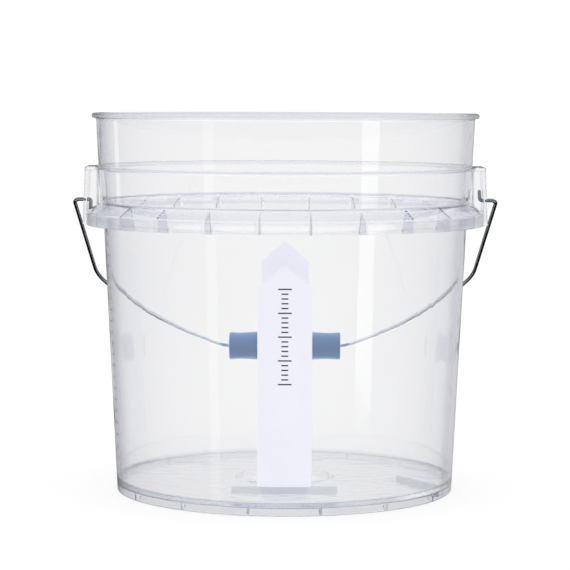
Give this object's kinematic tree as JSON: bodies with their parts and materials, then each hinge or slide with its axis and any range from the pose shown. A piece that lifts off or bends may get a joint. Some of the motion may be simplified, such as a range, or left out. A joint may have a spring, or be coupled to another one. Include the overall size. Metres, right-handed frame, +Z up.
{
  "type": "clear plastic pail with wire bail",
  "caption": "Clear straight-walled plastic pail with a ribbed collar and side ears, a swinging wire bail with a turning tube grip, and pointed labels.",
  "frame": {"origin": "centre of the foot's bottom plane, on the pail's axis", "axes": "+Z up along the pail's axis; X along the bail's pivot axis, through both ears; -Y towards the front label, +Y towards the side where the bail hangs"},
  "size_m": [0.3332, 0.3199, 0.2949],
  "materials": {
    "clear_plastic": "natural clear polypropylene, moulded, glossy outside with slight haze",
    "bail_steel": "round steel wire, dark glossy coating",
    "grip_plastic": "moulded tube grip, satin blue",
    "label_film": "printed film label, satin white"
  },
  "bodies": {
    "bucket": {"bucket_shell": "clear_plastic", "front_label": "label_film", "back_label": "label_film"},
    "bail": {"bail_wire": "bail_steel"},
    "grip": {"handle_grip": "grip_plastic"}
  },
  "joints": [
    {"name": "bail_swing", "type": "hinge", "parent": "bucket", "child": "bail", "pos_m": [0, 0, 0.2273], "axis": [1, 0, 0], "range_deg": [0, 262]},
    {"name": "grip_spin", "type": "hinge", "parent": "bail", "child": "grip", "pos_m": [0, 0.15094, 0.09609], "axis": [1, 0, 0], "continuous": true}
  ]
}
